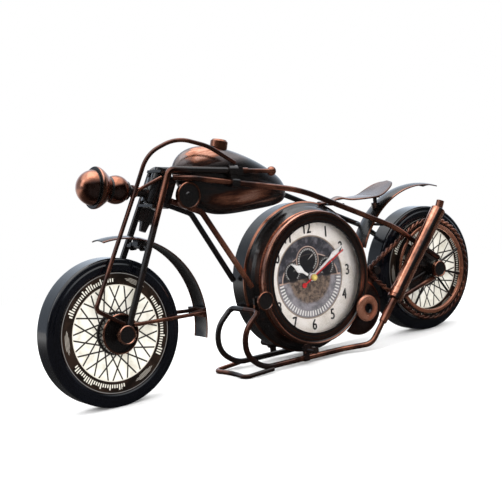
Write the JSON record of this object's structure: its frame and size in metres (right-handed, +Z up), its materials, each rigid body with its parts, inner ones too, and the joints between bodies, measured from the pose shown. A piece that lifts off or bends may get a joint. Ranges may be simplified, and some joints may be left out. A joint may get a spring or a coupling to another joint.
{
  "type": "motorcycle desk clock",
  "caption": "Desk clock shaped as a long-fork motorcycle bent from steel rod and sheet, its round dial in place of the engine, with spinning wheels and a twisted wire drive chain.",
  "frame": {"origin": "middle of the footprint, on the table", "axes": "+X from the front wheel to the rear wheel, the dial faces -Y, +Z up"},
  "size_m": [0.419, 0.0708, 0.188],
  "materials": {
    "tyre": "satin black moulded tyre and disc",
    "print_sheet": "printed card under clear film",
    "black_steel": "satin black lacquer",
    "tank_enamel": "gloss black enamel",
    "antique_copper": "black lacquer rubbed with copper",
    "bright_copper": "rubbed copper over black",
    "drum_sheet": "black lacquer rubbed to copper at the edges",
    "lens_glass": "clear flat glass",
    "dial_sheet": "printed cream dial",
    "movement_plastic": "moulded black",
    "battery_can": "wrapped cell",
    "hand_white": "white lacquer",
    "hand_red": "red lacquer"
  },
  "bodies": {
    "frame": {"axles": "antique_copper", "axle_nuts": "black_steel", "fork_left": "antique_copper", "fork_right": "black_steel", "fork_yokes": "black_steel", "head_tube": "antique_copper", "head_nut": "black_steel", "head_lug": "black_steel", "brake_levers": "antique_copper", "bar_clamps": "black_steel", "spring_wire": "black_steel", "lamp_brace": "antique_copper", "lamp_ball": "bright_copper", "lamp_cup": "bright_copper", "lamp_neck": "bright_copper", "lamp_stem": "black_steel", "front_guard": "black_steel", "guard_bolts": "black_steel", "guard_stays": "black_steel", "rail_left": "antique_copper", "rail_right": "black_steel", "down_tube_left": "antique_copper", "down_tube_right": "black_steel", "cradle_left": "black_steel", "cradle_right": "black_steel", "stand": "black_steel", "tank": "tank_enamel", "tank_cap": "bright_copper", "horn": "black_steel", "seat": "tank_enamel", "seat_mounts": "black_steel", "rear_guard": "black_steel", "rear_bosses": "black_steel", "pulley": "black_steel", "pulley_ring": "bright_copper", "drive_chain": "antique_copper", "sprocket": "black_steel", "engine_cover": "black_steel", "engine_ring": "bright_copper", "exhaust_pipes": "antique_copper", "muffler": "bright_copper", "muffler_stay": "antique_copper", "pivot_bolt": "black_steel", "foot_pegs": "black_steel", "drum": "drum_sheet", "bezel": "antique_copper", "lens": "lens_glass", "dial": "dial_sheet", "back_cover": "black_steel", "movement": "movement_plastic", "battery": "battery_can"},
    "front_wheel": {"front_drum": "tyre", "front_prints": "print_sheet", "front_cups": "black_steel"},
    "rear_wheel": {"rear_drum": "tyre", "rear_prints": "print_sheet"},
    "knob": {"set_knob": "movement_plastic"},
    "hour": {"hour_hand": "hand_white"},
    "minute": {"minute_hand": "hand_white"},
    "second": {"second_hand": "hand_red"}
  },
  "joints": [
    {"name": "front_wheel_spin", "type": "hinge", "parent": "frame", "child": "front_wheel", "pos_m": [-0.1555, 0.0007, 0.054], "axis": [0, 1, 0], "continuous": true},
    {"name": "rear_wheel_spin", "type": "hinge", "parent": "frame", "child": "rear_wheel", "pos_m": [0.1555, 0.0007, 0.054], "axis": [0, 1, 0], "continuous": true},
    {"name": "knob_turn", "type": "hinge", "parent": "frame", "child": "knob", "pos_m": [0.027, 0.0007, 0.066], "axis": [0, 1, 0], "continuous": true},
    {"name": "minute_turn", "type": "hinge", "parent": "frame", "child": "minute", "pos_m": [0.027, 0.0007, 0.066], "axis": [0, 1, 0], "continuous": true},
    {"name": "hour_turn", "type": "hinge", "parent": "frame", "child": "hour", "pos_m": [0.027, 0.0007, 0.066], "axis": [0, 1, 0], "continuous": true},
    {"name": "second_turn", "type": "hinge", "parent": "frame", "child": "second", "pos_m": [0.027, 0.0007, 0.066], "axis": [0, 1, 0], "continuous": true}
  ],
  "couplings": [
    {"joint": "knob_turn", "follows": "minute_turn", "ratio": -0.33333},
    {"joint": "hour_turn", "follows": "minute_turn", "ratio": 0.083333}
  ]
}
